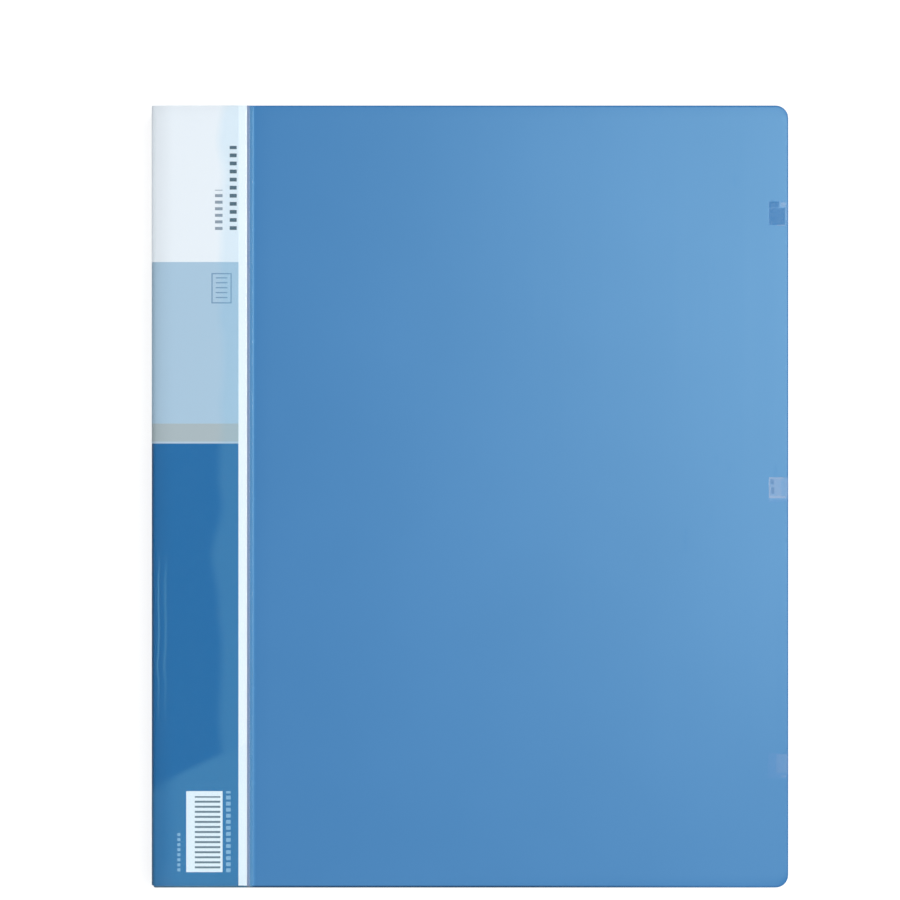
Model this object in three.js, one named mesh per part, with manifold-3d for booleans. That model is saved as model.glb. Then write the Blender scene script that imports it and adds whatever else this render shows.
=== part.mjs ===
// An A4 display book: a folded polypropylene cover that holds a block of clear pocket leaves.
// It lies closed on its back cover. Millimetres, +Z up out of the front cover, +Y to the head of the page.
// Book coordinates run from the spine's outer face: x across the page, y from mid height, z from the desk.
import * as THREE from "three";
import { mergeVertices } from "three/addons/utils/BufferGeometryUtils.js";
import Module from "manifold-3d";

const wasm = await Module();
wasm.setup();

// Page and pocket leaf
const PAGE_WIDTH = 210;
const PAGE_HEIGHT = 297;
const PAGE_SIDE_PLAY = 6; // free width in a pocket beside the page
const PAGE_HEAD_PLAY = 4; // free height in a pocket above the page
const LEAF_COUNT = 20;
const FILM = 0.1;
const POCKET_SLOT = 0.3; // space between a pocket's two films
const LEAF_GAP = 0.35; // space between neighbouring leaves
const LEAF_SEAM = 3; // welded border at a leaf's foot and sides
const BINDING_MARGIN = 14; // flat welded strip between a leaf's root and its pocket
const MARGIN_TAPER = 2; // where the two films part from each other
const LEAF_ROOT = 0.2; // hinge axis to the leaf's root

// Cover sheet
const SHEET = 0.7;
const CORNER_RADIUS = 5;
const FOLD_GAP = 0.3; // clear line between two panels at a fold
const CREASE = 40; // spine's outer face to the front crease
const CREASE_LIFT = 0.5; // crease axis above the cover's outer face
const FORE_OVERHANG = 11.5; // cover beyond the leaves at the fore edge
const LEAF_INSET = 3; // cover beyond the leaves at the head and foot
const LEAF_TO_BACK = 0.4; // lowest leaf to the back cover
const LEAF_TO_POCKET = 0.3; // highest leaf to the cover pocket

// Binding strip inside the spine
const BINDING_STRIP = 1;
const BINDING_TO_COVER = 0.3;
const BINDING_END_INSET = 1.5;
const LEAF_AXIS_GAP = 0.35; // binding strip's face to the leaves' hinge axes

// Title label and its clear sleeve
const LABEL = 0.25;
const LABEL_GAP = 0.25; // label to the cover behind it
const SLEEVE_GAP = 0.2; // label to the sleeve in front of it
const SLEEVE = 0.2;
const SLEEVE_WELD = 1.5;
const SLEEVE_FOOT_WELD = 0.6;
const SLEEVE_TO_CREASE = 0.5;
const SLEEVE_TO_FOOT = 0.3; // sleeve's lower weld to the desk
const LABEL_PLAY = 0.7; // label's edges to the welds along the sleeve
const LABEL_FOOT_PLAY = 0.3; // label's foot to the weld at the foot
const LABEL_HEAD_INSET = 0.5;

// Pocket inside the front cover, and the tabs that hold its fore edge
const COVER_FILM = 0.15;
const COVER_SLOT = 0.25;
const COVER_POCKET_WELD = 2;
const COVER_POCKET_TO_CREASE = 6;
const COVER_POCKET_TO_EDGE = 0.3;
const COVER_POCKET_TO_FOOT = 1;
const COVER_POCKET_TO_HEAD = 6;
const TAB_FILM = 0.15;
const TAB_REACH = 7.9;
const TAB_HEIGHT = 10;
const TOP_TAB_TO_HEAD = 42.7; // tab's middle to the cover's head
const BOTTOM_TAB_TO_FOOT = 48.3; // tab's middle to the cover's foot

// Leaf sizes that follow from the page
const leafThickness = 2 * FILM + POCKET_SLOT;
const leafPitch = leafThickness + LEAF_GAP;
const marginEnd = LEAF_ROOT + BINDING_MARGIN;
const pocketStart = marginEnd + MARGIN_TAPER;
const slotStart = pocketStart + LEAF_SEAM;
const slotEnd = slotStart + PAGE_WIDTH + PAGE_SIDE_PLAY;
const leafEnd = slotEnd + LEAF_SEAM;
const leafHeight = LEAF_SEAM + PAGE_HEIGHT + PAGE_HEAD_PLAY;

// Cover sizes that follow from the leaves
const bindingFace = SHEET + BINDING_STRIP;
const leafAxisX = bindingFace + LEAF_AXIS_GAP;
const coverWidth = leafAxisX + leafEnd + FORE_OVERHANG;
const coverHeight = leafHeight + 2 * LEAF_INSET;
const head = coverHeight / 2;
const foot = -head;
const firstLeafZ = SHEET + LEAF_TO_BACK + leafThickness / 2;
const lastLeafZ = firstLeafZ + (LEAF_COUNT - 1) * leafPitch;
const coverPocketZ = lastLeafZ + leafThickness / 2 + LEAF_TO_POCKET;
const coverInnerZ = coverPocketZ + COVER_FILM + COVER_SLOT;
const coverZ = coverInnerZ + SHEET; // outer face of the closed front cover
const panelStart = SHEET + FOLD_GAP; // where a cover panel starts beside the spine

// Layers over the spine and the front strip, as heights above the cover's outer face
const labelInner = LABEL_GAP;
const labelOuter = labelInner + LABEL;
const sleeveInner = labelOuter + SLEEVE_GAP;
const sleeveOuter = sleeveInner + SLEEVE;
const layerStart = (SHEET + FOLD_GAP) / 2; // clears the spine's own layers when the fold opens flat
const sleeveEdge = CREASE - SLEEVE_TO_CREASE;
const labelEdge = sleeveEdge - SLEEVE_WELD - LABEL_PLAY;
const labelFoot = foot + SLEEVE_FOOT_WELD + LABEL_FOOT_PLAY;
const labelHead = head - LABEL_HEAD_INSET;

// Axes of the cover's folds, all along Y, as x and z in book coordinates
const folds = {
  back: [SHEET / 2, SHEET / 2],
  front: [SHEET / 2, coverZ - SHEET / 2],
  crease: [CREASE, coverZ + CREASE_LIFT],
};

// Materials
function plastic(color, roughness, opacity = 1) {
  return new THREE.MeshStandardMaterial({
    color,
    roughness,
    metalness: 0,
    opacity,
    transparent: opacity < 1,
  });
}

const materials = {
  cover: plastic(0x4c8bc4, 0.45),
  binding: plastic(0xe8edf1, 0.5),
  film: plastic(0xe6eff5, 0.2, 0.35),
  label: plastic(0xa6c3d9, 0.8),
};

// Solid shapes
function toSolid(geometry) {
  const bare = geometry.clone().deleteAttribute("normal").deleteAttribute("uv");
  const merged = mergeVertices(bare, 1e-4);
  return new wasm.Manifold(
    new wasm.Mesh({
      numProp: 3,
      vertProperties: merged.attributes.position.array,
      triVerts: new Uint32Array(merged.index.array),
    }),
  );
}

function toGeometry(solid) {
  const { vertProperties, triVerts } = solid.getMesh();
  const geometry = new THREE.BufferGeometry();
  geometry.setAttribute("position", new THREE.BufferAttribute(vertProperties, 3));
  geometry.setIndex(new THREE.BufferAttribute(triVerts, 1));
  geometry.computeVertexNormals();
  return geometry;
}

function block([x0, x1], [y0, y1], [z0, z1]) {
  const geometry = new THREE.BoxGeometry(x1 - x0, y1 - y0, z1 - z0);
  return geometry.translate((x0 + x1) / 2, (y0 + y1) / 2, (z0 + z1) / 2);
}

// A flat panel whose two corners at the fore edge are rounded
function panel([x0, x1], [y0, y1], [z0, z1], headRadius, footRadius) {
  const shape = new THREE.Shape();
  shape.moveTo(x0, y0);
  shape.lineTo(x1 - footRadius, y0);
  shape.absarc(x1 - footRadius, y0 + footRadius, footRadius, -Math.PI / 2, 0);
  shape.lineTo(x1, y1 - headRadius);
  if (headRadius > 0) shape.absarc(x1 - headRadius, y1 - headRadius, headRadius, 0, Math.PI / 2);
  shape.lineTo(x0, y1);
  const options = { depth: z1 - z0, bevelEnabled: false, curveSegments: 8 };
  return new THREE.ExtrudeGeometry(shape, options).translate(0, 0, z0);
}

// A section drawn in x and z, run along y
function run(points, [y0, y1]) {
  const shape = new THREE.Shape(points.map(([x, z]) => new THREE.Vector2(x, z)));
  const geometry = new THREE.ExtrudeGeometry(shape, { depth: y1 - y0, bevelEnabled: false });
  return geometry.rotateX(Math.PI / 2).translate(0, y1, 0);
}

function piece(name, geometry, material) {
  const mesh = new THREE.Mesh(geometry, material);
  mesh.name = name;
  return mesh;
}

function backCover() {
  const geometry = panel([panelStart, coverWidth], [foot, head], [0, SHEET], CORNER_RADIUS, CORNER_RADIUS);
  return piece("back_cover", geometry, materials.cover);
}

function spinePanel() {
  return piece("spine_panel", block([0, SHEET], [foot, head], [0, coverZ]), materials.cover);
}

function frontStrip() {
  const across = [panelStart, CREASE - FOLD_GAP / 2];
  return piece("front_strip", block(across, [foot, head], [coverInnerZ, coverZ]), materials.cover);
}

function frontCover() {
  const across = [CREASE + FOLD_GAP / 2, coverWidth];
  const geometry = panel(across, [foot, head], [coverInnerZ, coverZ], CORNER_RADIUS, CORNER_RADIUS);
  return piece("front_cover", geometry, materials.cover);
}

function bindingStrip() {
  const along = [foot + BINDING_END_INSET, head - BINDING_END_INSET];
  const high = [SHEET + BINDING_TO_COVER, coverInnerZ - BINDING_TO_COVER];
  return piece("binding_strip", block([SHEET, bindingFace], along, high), materials.binding);
}

// One leaf, its hinge axis at the origin: a flat margin that parts into two films, open at the head
function leafGeometry() {
  const half = leafThickness / 2;
  const section = [
    [LEAF_ROOT, -FILM],
    [marginEnd, -FILM],
    [pocketStart, -half],
    [leafEnd, -half],
    [leafEnd, half],
    [pocketStart, half],
    [marginEnd, FILM],
    [LEAF_ROOT, FILM],
  ];
  const low = -leafHeight / 2;
  const high = leafHeight / 2;
  const blank = toSolid(run(section, [low, high]));
  const slotHeight = [low + LEAF_SEAM, high + LEAF_SEAM];
  const slot = block([slotStart, slotEnd], slotHeight, [-POCKET_SLOT / 2, POCKET_SLOT / 2]);
  return toGeometry(blank.subtract(toSolid(slot)));
}

function pocketLeaves() {
  const geometry = leafGeometry();
  return Array.from({ length: LEAF_COUNT }, (_, i) => {
    const leaf = piece("pocket_leaf_" + String(i + 1).padStart(2, "0"), geometry, materials.film);
    leaf.position.set(leafAxisX, 0, firstLeafZ + i * leafPitch);
    return leaf;
  });
}

// Clear film over the front strip, welded beside the crease and along the foot
function sleeveFront() {
  const film = block(
    [layerStart, sleeveEdge],
    [foot, head],
    [coverZ + sleeveInner, coverZ + sleeveOuter],
  );
  const under = [coverZ, coverZ + sleeveOuter];
  const sideWeld = block([sleeveEdge - SLEEVE_WELD, sleeveEdge], [foot, head], under);
  const footWeld = block([panelStart, sleeveEdge], [foot, foot + SLEEVE_FOOT_WELD], under);
  const solid = toSolid(film).add(toSolid(sideWeld)).add(toSolid(footWeld));
  return piece("sleeve_front", toGeometry(solid), materials.film);
}

// Clear film over the spine, welded beside the back cover and along the foot
function sleeveSpine() {
  const high = [SLEEVE_TO_FOOT, coverZ - layerStart];
  const film = block([-sleeveOuter, -sleeveInner], [foot, head], high);
  const sideWeld = block([-sleeveOuter, 0], [foot, head], [SLEEVE_TO_FOOT, SLEEVE_TO_FOOT + SLEEVE_WELD]);
  const footWeld = block([-sleeveOuter, 0], [foot, foot + SLEEVE_FOOT_WELD], high);
  const solid = toSolid(film).add(toSolid(sideWeld)).add(toSolid(footWeld));
  return piece("sleeve_spine", toGeometry(solid), materials.film);
}

function labelFront() {
  const high = [coverZ + labelInner, coverZ + labelOuter];
  return piece("label_front", block([layerStart, labelEdge], [labelFoot, labelHead], high), materials.label);
}

function labelSpine() {
  const high = [SLEEVE_TO_FOOT + SLEEVE_WELD + LABEL_PLAY, coverZ - layerStart];
  const across = [-labelOuter, -labelInner];
  return piece("label_spine", block(across, [labelFoot, labelHead], high), materials.label);
}

// Clear film inside the front cover, welded beside the crease and along the foot, open at the head
function coverPocket() {
  const start = CREASE + COVER_POCKET_TO_CREASE;
  const end = coverWidth - COVER_POCKET_TO_EDGE;
  const low = foot + COVER_POCKET_TO_FOOT;
  const high = head - COVER_POCKET_TO_HEAD;
  const film = panel(
    [start, end],
    [low, high],
    [coverPocketZ, coverPocketZ + COVER_FILM],
    0,
    CORNER_RADIUS,
  );
  const depth = [coverPocketZ, coverInnerZ];
  const sideWeld = block([start, start + COVER_POCKET_WELD], [low, high], depth);
  const footWeld = block([start, end - CORNER_RADIUS], [low, low + COVER_POCKET_WELD], depth);
  const solid = toSolid(film).add(toSolid(sideWeld)).add(toSolid(footWeld));
  return piece("cover_pocket", toGeometry(solid), materials.film);
}

// Clear tabs folded round the fore edge, over the cover and the film of its pocket
function edgeTabs() {
  const inner = coverWidth - TAB_REACH;
  const outer = coverWidth + TAB_FILM;
  const section = [
    [inner, coverZ + TAB_FILM],
    [inner, coverZ],
    [coverWidth, coverZ],
    [coverWidth, coverPocketZ],
    [inner, coverPocketZ],
    [inner, coverPocketZ - TAB_FILM],
    [outer, coverPocketZ - TAB_FILM],
    [outer, coverZ + TAB_FILM],
  ];
  const top = head - TOP_TAB_TO_HEAD;
  const bottom = foot + BOTTOM_TAB_TO_FOOT;
  const places = { top, middle: (top + bottom) / 2, bottom };
  return Object.entries(places).map(([place, y]) => {
    const geometry = run(section, [y - TAB_HEIGHT / 2, y + TAB_HEIGHT / 2]);
    return piece("edge_tab_" + place, geometry, materials.film);
  });
}

// A group that turns about an axis along Y, holding members placed in book coordinates
function hinged(name, [x, z], ...members) {
  const group = new THREE.Group();
  group.name = name;
  group.position.set(x, 0, z);
  for (const member of members) {
    member.position.x -= x;
    member.position.z -= z;
    group.add(member);
  }
  return group;
}

// The folds nest as they carry each other: spine, then front strip, then front cover
const coverTurns = hinged("front_cover_turns", folds.crease, frontCover(), coverPocket(), ...edgeTabs());

// The label slides along Y as one card, and its spine half turns with the spine
const labelSlides = new THREE.Group().add(labelFront(), hinged("label_turns", folds.front, labelSpine()));
labelSlides.name = "label_slides";

const stripTurns = hinged(
  "front_strip_turns",
  folds.front,
  frontStrip(),
  sleeveFront(),
  labelSlides,
  coverTurns,
);
const spineTurns = hinged(
  "spine_turns",
  folds.back,
  spinePanel(),
  bindingStrip(),
  sleeveSpine(),
  ...pocketLeaves(),
  stripTurns,
);

const displayBook = new THREE.Group().add(backCover(), spineTurns);
displayBook.name = "display_book";
displayBook.position.x = (sleeveOuter - coverWidth - TAB_FILM) / 2; // origin under the middle of the closed book

export default displayBook;
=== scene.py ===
"""An A4 display book: blue polypropylene cover, title label in a clear sleeve, clear pocket leaves."""
import math

import bmesh
import bpy
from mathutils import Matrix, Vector, noise


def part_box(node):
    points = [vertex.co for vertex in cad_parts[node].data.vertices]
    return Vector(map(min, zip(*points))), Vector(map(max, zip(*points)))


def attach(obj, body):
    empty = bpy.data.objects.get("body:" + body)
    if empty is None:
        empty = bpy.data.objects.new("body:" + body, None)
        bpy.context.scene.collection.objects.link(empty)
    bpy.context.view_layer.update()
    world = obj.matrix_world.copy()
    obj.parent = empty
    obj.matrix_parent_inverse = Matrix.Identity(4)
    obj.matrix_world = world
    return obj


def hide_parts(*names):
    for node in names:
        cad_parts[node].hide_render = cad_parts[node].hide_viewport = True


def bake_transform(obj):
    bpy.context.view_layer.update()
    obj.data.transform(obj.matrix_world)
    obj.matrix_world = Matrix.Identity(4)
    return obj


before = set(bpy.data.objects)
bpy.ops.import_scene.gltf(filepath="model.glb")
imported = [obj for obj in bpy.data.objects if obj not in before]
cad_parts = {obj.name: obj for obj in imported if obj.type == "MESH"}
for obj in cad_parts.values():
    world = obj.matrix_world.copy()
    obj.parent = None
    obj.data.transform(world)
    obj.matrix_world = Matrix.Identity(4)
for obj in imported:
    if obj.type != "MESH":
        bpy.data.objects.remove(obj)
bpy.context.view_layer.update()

MM = 0.001
spine_low, spine_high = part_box("spine_panel")


# Book coordinates, in millimetres: x from the spine's outer face, y from mid height, z from the desk
def place(x, y, z):
    """A point in book coordinates as a point in the scene."""
    return Vector((spine_low.x + x * MM, y * MM, z * MM))


def book_box(node):
    """A node's lowest and highest corner in book coordinates."""
    return [Vector(((c.x - spine_low.x) / MM, c.y / MM, c.z / MM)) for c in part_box(node)]


# Main sizes, from the frame
SHEET = (spine_high.x - spine_low.x) / MM
TOP = spine_high.z / MM
HEAD = spine_high.y / MM
FOOT = -HEAD
_, strip_high = book_box("front_strip")
front_low, front_high = book_box("front_cover")
FORE = front_high.x
CREASE = (strip_high.x + front_low.x) / 2

# Folds and edges of the cover sheet
FRONT_BEND = 1.55  # outer radius where the spine meets the front
BACK_BEND = 0.75  # outer radius where the spine meets the back
INNER_BEND = 0.3
RIM = 0.8  # width of the sheet's rolled, die-cut edge
RIM_DROP = 0.8  # share of the half thickness that it loses at the very edge
RIM_STEPS = (0.0, 0.15, 0.3, 0.45, 0.6)
PAGE_CORNER = 5.0
SEAM = 20.0  # where two meshes of the cover meet, under the label
CREASE_HALF_WIDTH = 0.7
CREASE_DEPTH = 0.07
CREASE_INSIDE = 0.25  # share of the dent that swells out on the inner face

FLAT_MAP = "sheet"  # map of a piece laid flat, in metres
SHARP_ANGLE = math.radians(50)  # edges that turn by more stay crisp


# Small helpers
def steps(start, end, size):
    """Even places from start to end, about size apart."""
    count = max(1, round(abs(end - start) / size))
    return [start + (end - start) * i / count for i in range(count + 1)]


def rimmed(start, end, size):
    """Even places from start to end, closer together at both rims."""
    near = [start + d for d in RIM_STEPS]
    far = [end - d for d in reversed(RIM_STEPS)]
    return near + steps(start + RIM, end - RIM, size) + far


def smooth(value):
    value = min(max(value, 0.0), 1.0)
    return value * value * (3 - 2 * value)


def rim_factor(distance):
    """Share of the thickness left at a distance from the sheet's cut edge."""
    reach = 1 - min(max(distance / RIM, 0.0), 1.0)
    return 1 - RIM_DROP * reach * reach


def squeeze(outer, inner, factor):
    """Brings the outer and inner point of a sheet nearer to its middle."""
    middle = (outer + inner) / 2
    return middle + (outer - middle) * factor, middle + (inner - middle) * factor


# Mesh building
def finish_mesh(name, mesh):
    bmesh.ops.remove_doubles(mesh, verts=mesh.verts, dist=1e-7)
    bmesh.ops.recalc_face_normals(mesh, faces=mesh.faces)
    data = bpy.data.meshes.new(name)
    mesh.to_mesh(data)
    mesh.free()
    data.shade_smooth()
    data.set_sharp_from_angle(angle=SHARP_ANGLE)
    piece = bpy.data.objects.new(name, data)
    bpy.context.scene.collection.objects.link(piece)
    return piece


def add_face(mesh, layer, corners, slot=0):
    """A face from (vertex, flat place) pairs."""
    face = mesh.faces.new([vertex for vertex, _ in corners])
    face.material_index = slot
    for loop, (_, flat) in zip(face.loops, corners):
        loop[layer].uv = (flat[0] * MM, flat[1] * MM)


def closed_sheet(name, grid, wall_slot=0):
    """A closed sheet from lines of (outer point, inner point, flat place), in book coordinates."""
    mesh = bmesh.new()
    layer = mesh.loops.layers.uv.new(FLAT_MAP)
    outer = [[(mesh.verts.new(place(*cell[0])), cell[2]) for cell in line] for line in grid]
    inner = [[(mesh.verts.new(place(*cell[1])), cell[2]) for cell in line] for line in grid]
    last, end = len(grid) - 1, len(grid[0]) - 1
    for i in range(last):
        for j in range(end):
            for side in (outer, inner):
                add_face(mesh, layer, (side[i][j], side[i + 1][j], side[i + 1][j + 1], side[i][j + 1]))
        for j in (0, end):
            corners = (outer[i][j], outer[i + 1][j], inner[i + 1][j], inner[i][j])
            add_face(mesh, layer, corners, wall_slot)
    for j in range(end):
        for i in (0, last):
            corners = (outer[i][j], outer[i][j + 1], inner[i][j + 1], inner[i][j])
            add_face(mesh, layer, corners, wall_slot)
    return finish_mesh(name, mesh)


# The cover's outer face, unrolled: u is x on the front and runs on round the bend and down the spine
FRONT_ARC = FRONT_BEND * math.pi / 2
SPINE_START = FRONT_BEND - FRONT_ARC


def over_front(u, height):
    """Point in x and z at u along the outer face, at a height above it."""
    if u >= FRONT_BEND:
        return u, TOP + height
    if u <= SPINE_START:
        return -height, TOP - FRONT_BEND + u - SPINE_START
    turn = (FRONT_BEND - u) / FRONT_BEND
    radius = FRONT_BEND + height
    return FRONT_BEND - radius * math.sin(turn), TOP - FRONT_BEND + radius * math.cos(turn)


def under_front(u):
    """Point in x and z on the cover's inner face, opposite u on its outer face."""
    if u >= FRONT_BEND:
        return u, TOP - SHEET
    if u <= SPINE_START:
        return SHEET, TOP - FRONT_BEND + u - SPINE_START
    turn = (FRONT_BEND - u) / FRONT_BEND
    middle = SHEET + INNER_BEND
    return middle - INNER_BEND * math.sin(turn), TOP - middle + INNER_BEND * math.cos(turn)


def at_spine(z):
    """u of a height on the spine."""
    return z - TOP + FRONT_BEND + SPINE_START


def bend_steps():
    return steps(SPINE_START, FRONT_BEND, FRONT_ARC / 14)


def joined(*runs):
    """Runs of places as one, without the repeats where they meet."""
    places = []
    for run in runs:
        places += [value for value in run if not places or abs(value - places[-1]) > 1e-6]
    return places


# Cover sheet
def page_limit(x):
    """Half height of a cover panel at x, less at its rounded corners."""
    reach = x - (FORE - PAGE_CORNER)
    if reach <= 0:
        return HEAD
    return HEAD - PAGE_CORNER + math.sqrt(max(PAGE_CORNER**2 - reach**2, 0.0))


def page_edge_distance(x, y):
    """Distance from a point of a cover panel to its cut edge."""
    across = x - (FORE - PAGE_CORNER)
    along = abs(y) - (HEAD - PAGE_CORNER)
    if across > 0 and along > 0:
        return PAGE_CORNER - math.hypot(across, along)
    return min(FORE - x, HEAD - abs(y))


def page_row(x, y):
    """A row's place at x, drawn in where the corners are rounded."""
    straight = HEAD - PAGE_CORNER
    if abs(y) <= straight:
        return y
    share = (abs(y) - straight) / PAGE_CORNER
    return math.copysign(straight + share * (page_limit(x) - straight), y)


def crease_dent(x, y):
    """Depth of the pressed crease, which varies a little along its length."""
    reach = abs(x - CREASE) / CREASE_HALF_WIDTH
    if reach >= 1:
        return 0.0
    slow = noise.noise(Vector((y * 0.12, 3.0, 0.0))) * 0.25
    quick = noise.noise(Vector((y * 0.9, 9.0, 0.0))) * 0.15
    return CREASE_DEPTH * (1 + slow + quick) * (1 - reach * reach) ** 2


def page_columns(start):
    """Places across a cover panel, closer together at its rounded corners and its rim."""
    arc = [FORE - PAGE_CORNER + PAGE_CORNER * math.sin(math.radians(a)) for a in range(0, 55, 10)]
    rim = [FORE - RIM] + [FORE - d for d in reversed(RIM_STEPS)]
    return joined(steps(start, FORE - PAGE_CORNER, 6), arc, rim)


def cover_rows():
    return rimmed(FOOT, HEAD, 4)


def cover_front():
    """Front cover and most of the front strip, one sheet across the crease."""
    near = (CREASE - CREASE_HALF_WIDTH, CREASE + CREASE_HALF_WIDTH)
    columns = joined(steps(SEAM, near[0], 4), steps(*near, 0.1), page_columns(near[1]))
    grid = []
    for x in columns:
        line = []
        for row in cover_rows():
            y = page_row(x, row)
            dent = crease_dent(x, y)
            outer = Vector((x, y, TOP - dent))
            inner = Vector((x, y, TOP - SHEET - dent * CREASE_INSIDE))
            factor = rim_factor(page_edge_distance(x, y))
            line.append((*squeeze(outer, inner, factor), (x, y)))
        grid.append(line)
    return closed_sheet("cover_sheet_front", grid, wall_slot=1)


def cover_part(name, section):
    """Part of the cover from the (outer point, inner point, u) of its section, points in x and z."""
    grid = []
    for (outer_x, outer_z), (inner_x, inner_z), u in section:
        line = []
        for row in cover_rows():
            y = page_row(outer_x, row)
            outer, inner = Vector((outer_x, y, outer_z)), Vector((inner_x, y, inner_z))
            factor = rim_factor(page_edge_distance(outer_x, y))
            line.append((*squeeze(outer, inner, factor), (u, y)))
        grid.append(line)
    return closed_sheet(name, grid, wall_slot=1)


def cover_spine():
    """Upper half of the spine, its bend and the start of the front strip."""
    columns = joined(steps(at_spine(TOP / 2), SPINE_START, 2), bend_steps(), steps(FRONT_BEND, SEAM, 3))
    return cover_part("cover_sheet_spine", [(over_front(u, 0), under_front(u), u) for u in columns])


def back_section():
    """The back cover's section, from mid spine."""
    section = []
    start = at_spine(TOP / 2)
    for z in steps(TOP / 2, BACK_BEND, 2):
        section.append(((0, z), (SHEET, max(z, SHEET + INNER_BEND)), start - (TOP / 2 - z)))
    bend_start = section[-1][2]
    middle = SHEET + INNER_BEND
    for turn in steps(0, math.pi / 2, math.pi / 20)[1:]:
        outer = (BACK_BEND * (1 - math.cos(turn)), BACK_BEND * (1 - math.sin(turn)))
        inner = (middle - INNER_BEND * math.cos(turn), middle - INNER_BEND * math.sin(turn))
        section.append((outer, inner, bend_start - BACK_BEND * turn))
    bend_end = section[-1][2]
    for x in joined([middle + 0.3], page_columns(middle + 3)):
        section.append(((x, 0), (x, SHEET), bend_end - (x - BACK_BEND)))
    return section


def cover_back():
    """Back cover, its bend and the lower half of the spine."""
    return cover_part("cover_sheet_back", back_section())


# Sheets that lie over the cover's outer face
def laid_over(name, columns, rows, heights, drop, wall_slot=0):
    """Heights gives the outer and the inner face's height at (u, y). Both drop at the cut edge."""
    grid = []
    for u in columns:
        line = []
        for y in rows:
            at_edge = u in (columns[0], columns[-1]) or y in (rows[0], rows[-1])
            fall = drop if at_edge else 0.0
            outer, inner = heights(u, y)
            outer_x, outer_z = over_front(u, outer - fall)
            inner_x, inner_z = over_front(u, inner + fall)
            line.append((Vector((outer_x, y, outer_z)), Vector((inner_x, y, inner_z)), (u, y)))
        grid.append(line)
    return closed_sheet(name, grid, wall_slot)


# Title label: one card bent over the front bend
label_low, label_high = book_box("label_front")
label_spine_low, _ = book_box("label_spine")
LABEL_INNER = label_low.z - TOP  # heights of the card's faces above the cover
LABEL_OUTER = label_high.z - TOP
LABEL_HEAD = HEAD - 0.1  # the card all but fills the open head of its sleeve
LABEL_RIM = 0.08
LABEL_RIM_DROP = 0.06  # how far each face drops at the card's cut edge
STAND_OFF = 0.15  # how far the card and its sleeve stand off the spine


def stand_off(u):
    """Extra height on the spine, growing round the bend."""
    return STAND_OFF * smooth((FRONT_BEND - u) / FRONT_ARC)


def label_heights(u, _):
    return LABEL_OUTER + stand_off(u), LABEL_INNER + stand_off(u)


def label_card():
    low, high = at_spine(label_spine_low.z), label_high.x
    columns = joined([low, low + LABEL_RIM], steps(low + LABEL_RIM, SPINE_START, 2), bend_steps())
    columns = joined(columns, steps(FRONT_BEND, high - LABEL_RIM, 4), [high])
    foot, head = label_low.y, LABEL_HEAD
    rows = joined([foot, foot + LABEL_RIM], steps(foot + LABEL_RIM, head - LABEL_RIM, 6), [head])
    return laid_over("label_card", columns, rows, label_heights, LABEL_RIM_DROP, wall_slot=1)


# Clear sleeve over the label: welded at the crease, at the foot of the spine panel and along the foot
_, sleeve_high = book_box("sleeve_front")
SLEEVE_FILM = 0.2
SLEEVE_FILM_DROP = 0.05  # how far each face of the film drops at its cut edge
SLEEVE_REST = LABEL_OUTER + 0.04  # height of the film's inner face above the cover, tight over the label
SLEEVE_WELDED = 0.01  # the same at a weld
SLEEVE_END = sleeve_high.x
SLEEVE_WELD = 1.5
SLEEVE_RAMP = 0.7  # the film comes down to the weld at the crease over this length
SLEEVE_START = BACK_BEND + 0.05
SPINE_WELD = 1.2
SPINE_RAMP = 0.5
FOOT_WELD = 0.6
SLEEVE_EASE = 0.14  # how much higher the film lies away from the spine
SLEEVE_BULGE = 0.16  # how much higher still where it is loose


def sleeve_bulge(u, y):
    """How far the loose film stands off its rest height."""
    eased = SLEEVE_EASE * smooth((u - 2) / 6)
    across = smooth((u - 4) / 14) * smooth((SLEEVE_END - SLEEVE_WELD - u) / 14)
    along = smooth((y - FOOT) / 25)
    slow = noise.noise(Vector((u * 0.05, y * 0.018, 1.7)))
    fine = noise.noise(Vector((u * 0.12, y * 0.035, 5.2)))
    return eased + across * along * (SLEEVE_BULGE + 0.12 * slow + 0.05 * fine)


def sleeve_heights(u, y):
    """Heights of the film's two faces above the cover."""
    side = smooth((SLEEVE_END - SLEEVE_WELD - u) / SLEEVE_RAMP)
    spine = smooth((u - at_spine(SLEEVE_START + SPINE_WELD)) / SPINE_RAMP)
    foot = smooth((y - FOOT - FOOT_WELD + 0.15) / 0.4)
    over_label = SLEEVE_REST + stand_off(u) + sleeve_bulge(u, y)
    sunk = SHEET / 2 * (1 - rim_factor(y - FOOT))
    inner = SLEEVE_WELDED + (over_label - SLEEVE_WELDED) * min(side, spine, foot) - sunk
    return inner + SLEEVE_FILM, inner


def sleeve_columns():
    """Places across the film, closer together where it comes down to a weld."""
    low, start = at_spine(SLEEVE_START), at_spine(SLEEVE_START + SPINE_WELD)
    risen = start + SPINE_RAMP
    high, end = SLEEVE_END, SLEEVE_END - SLEEVE_WELD
    columns = joined([low, low + 0.06], steps(low + 0.06, start, 0.6), steps(start, risen, 0.1))
    columns = joined(columns, steps(risen, SPINE_START, 1.5), bend_steps())
    columns = joined(columns, steps(FRONT_BEND, end - SLEEVE_RAMP, 1.2), steps(end - SLEEVE_RAMP, end, 0.1))
    return joined(columns, steps(end, high - 0.18, 0.4), [high - 0.12, high - 0.06, high])


def label_sleeve():
    rows = joined(steps(FOOT, FOOT + 1.0, 0.1), steps(FOOT + 1.0, HEAD - 0.06, 2.5), [HEAD])
    return laid_over("label_sleeve", sleeve_columns(), rows, sleeve_heights, SLEEVE_FILM_DROP)


# Clear tabs folded round the fore edge
TAB_CLEARANCE = 0.02
TAB_BEND = 0.25  # outer radius
TAB_DROP = 0.04  # how far each face drops at the tab's cut edge


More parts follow.
